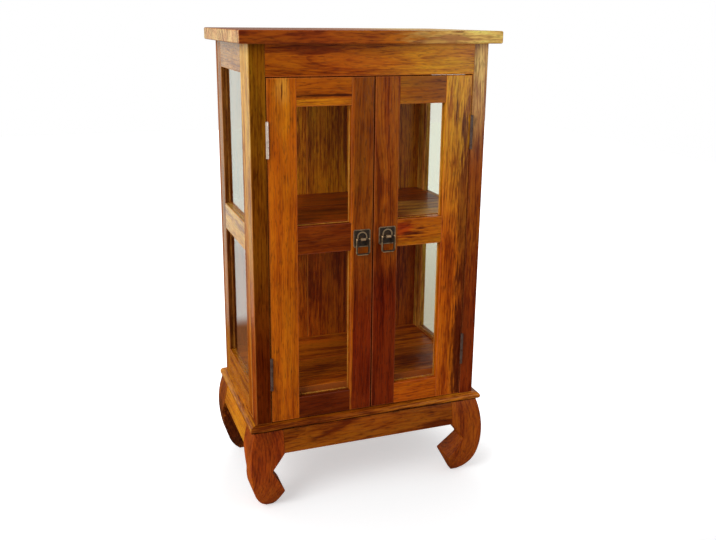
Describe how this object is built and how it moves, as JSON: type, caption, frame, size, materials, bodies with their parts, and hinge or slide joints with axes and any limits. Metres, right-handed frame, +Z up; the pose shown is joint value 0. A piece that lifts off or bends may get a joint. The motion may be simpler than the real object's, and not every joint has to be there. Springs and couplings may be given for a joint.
{
  "type": "display cabinet",
  "caption": "Hardwood display cabinet on curved opium legs, with glazed sides, two glazed inset doors on butt hinges, a shelf and bail pulls.",
  "frame": {"origin": "on the floor, under the middle of the top board", "axes": "+Z up, +X to the right seen from the front, +Y from the front to the back"},
  "size_m": [0.542, 0.354, 1],
  "materials": {
    "top_wood": "clear satin lacquer over red-brown hardwood",
    "frame_wood": "clear satin lacquer over red-brown hardwood",
    "door_wood": "clear satin lacquer over orange-brown hardwood",
    "bead_wood": "clear satin lacquer",
    "board_wood": "thin lacquer, duller than outside",
    "moulding_wood": "clear satin lacquer over paler wood",
    "apron_wood": "clear satin lacquer",
    "leg_wood": "clear satin lacquer",
    "glass": "clear float glass",
    "hinge_steel": "dulled plated steel",
    "pull_brass": "dark antique brass with rubbed edges",
    "strike_steel": "zinc plated",
    "catch_plastic": "brown moulded case"
  },
  "bodies": {
    "carcass": {"back_apron": "apron_wood", "back_boards": "board_wood", "back_rails": "board_wood", "board_bearers": "board_wood", "catch_magnets": "catch_plastic", "floor_boards": "board_wood", "front_apron": "apron_wood", "front_moulding": "moulding_wood", "front_top_rail": "frame_wood", "hinge_pins": "hinge_steel", "left_apron": "apron_wood", "left_back_leg": "leg_wood", "left_front_leg": "leg_wood", "left_front_post": "frame_wood", "left_moulding": "moulding_wood", "left_side_back_stile": "frame_wood", "left_side_beads": "bead_wood", "left_side_bottom_rail": "frame_wood", "left_side_front_stile": "frame_wood", "left_side_middle_rail": "frame_wood", "left_side_panes": "glass", "left_side_top_rail": "frame_wood", "post_hinge_leaves": "hinge_steel", "right_apron": "apron_wood", "right_back_leg": "leg_wood", "right_front_leg": "leg_wood", "right_front_post": "frame_wood", "right_moulding": "moulding_wood", "right_side_back_stile": "frame_wood", "right_side_beads": "bead_wood", "right_side_bottom_rail": "frame_wood", "right_side_front_stile": "frame_wood", "right_side_middle_rail": "frame_wood", "right_side_panes": "glass", "right_side_top_rail": "frame_wood", "shelf_boards": "board_wood", "top_board": "top_wood"},
    "left_door": {"left_catch_strike": "strike_steel", "left_door_beads": "bead_wood", "left_door_bottom_rail": "door_wood", "left_door_hinge_leaves": "hinge_steel", "left_door_hinge_stile": "door_wood", "left_door_meeting_stile": "door_wood", "left_door_middle_rail": "door_wood", "left_door_panes": "glass", "left_door_top_rail": "door_wood", "left_pull_plate": "pull_brass"},
    "right_door": {"right_catch_strike": "strike_steel", "right_door_beads": "bead_wood", "right_door_bottom_rail": "door_wood", "right_door_hinge_leaves": "hinge_steel", "right_door_hinge_stile": "door_wood", "right_door_meeting_stile": "door_wood", "right_door_middle_rail": "door_wood", "right_door_panes": "glass", "right_door_top_rail": "door_wood", "right_pull_plate": "pull_brass"},
    "left_bail": {"left_bail_handle": "pull_brass"},
    "right_bail": {"right_bail_handle": "pull_brass"}
  },
  "joints": [
    {"name": "left_door_hinge", "type": "hinge", "parent": "carcass", "child": "left_door", "pos_m": [-0.21725, -0.1601, 0.5535], "axis": [0, 0, -1], "range_deg": [0, 170]},
    {"name": "right_door_hinge", "type": "hinge", "parent": "carcass", "child": "right_door", "pos_m": [0.21725, -0.1601, 0.5535], "axis": [0, 0, 1], "range_deg": [0, 170]},
    {"name": "left_bail_swing", "type": "hinge", "parent": "left_door", "child": "left_bail", "pos_m": [-0.022, -0.1656, 0.586], "axis": [-1, 0, 0], "range_deg": [0, 90]},
    {"name": "right_bail_swing", "type": "hinge", "parent": "right_door", "child": "right_bail", "pos_m": [0.03375, -0.1656, 0.588], "axis": [-1, 0, 0], "range_deg": [0, 90]}
  ]
}
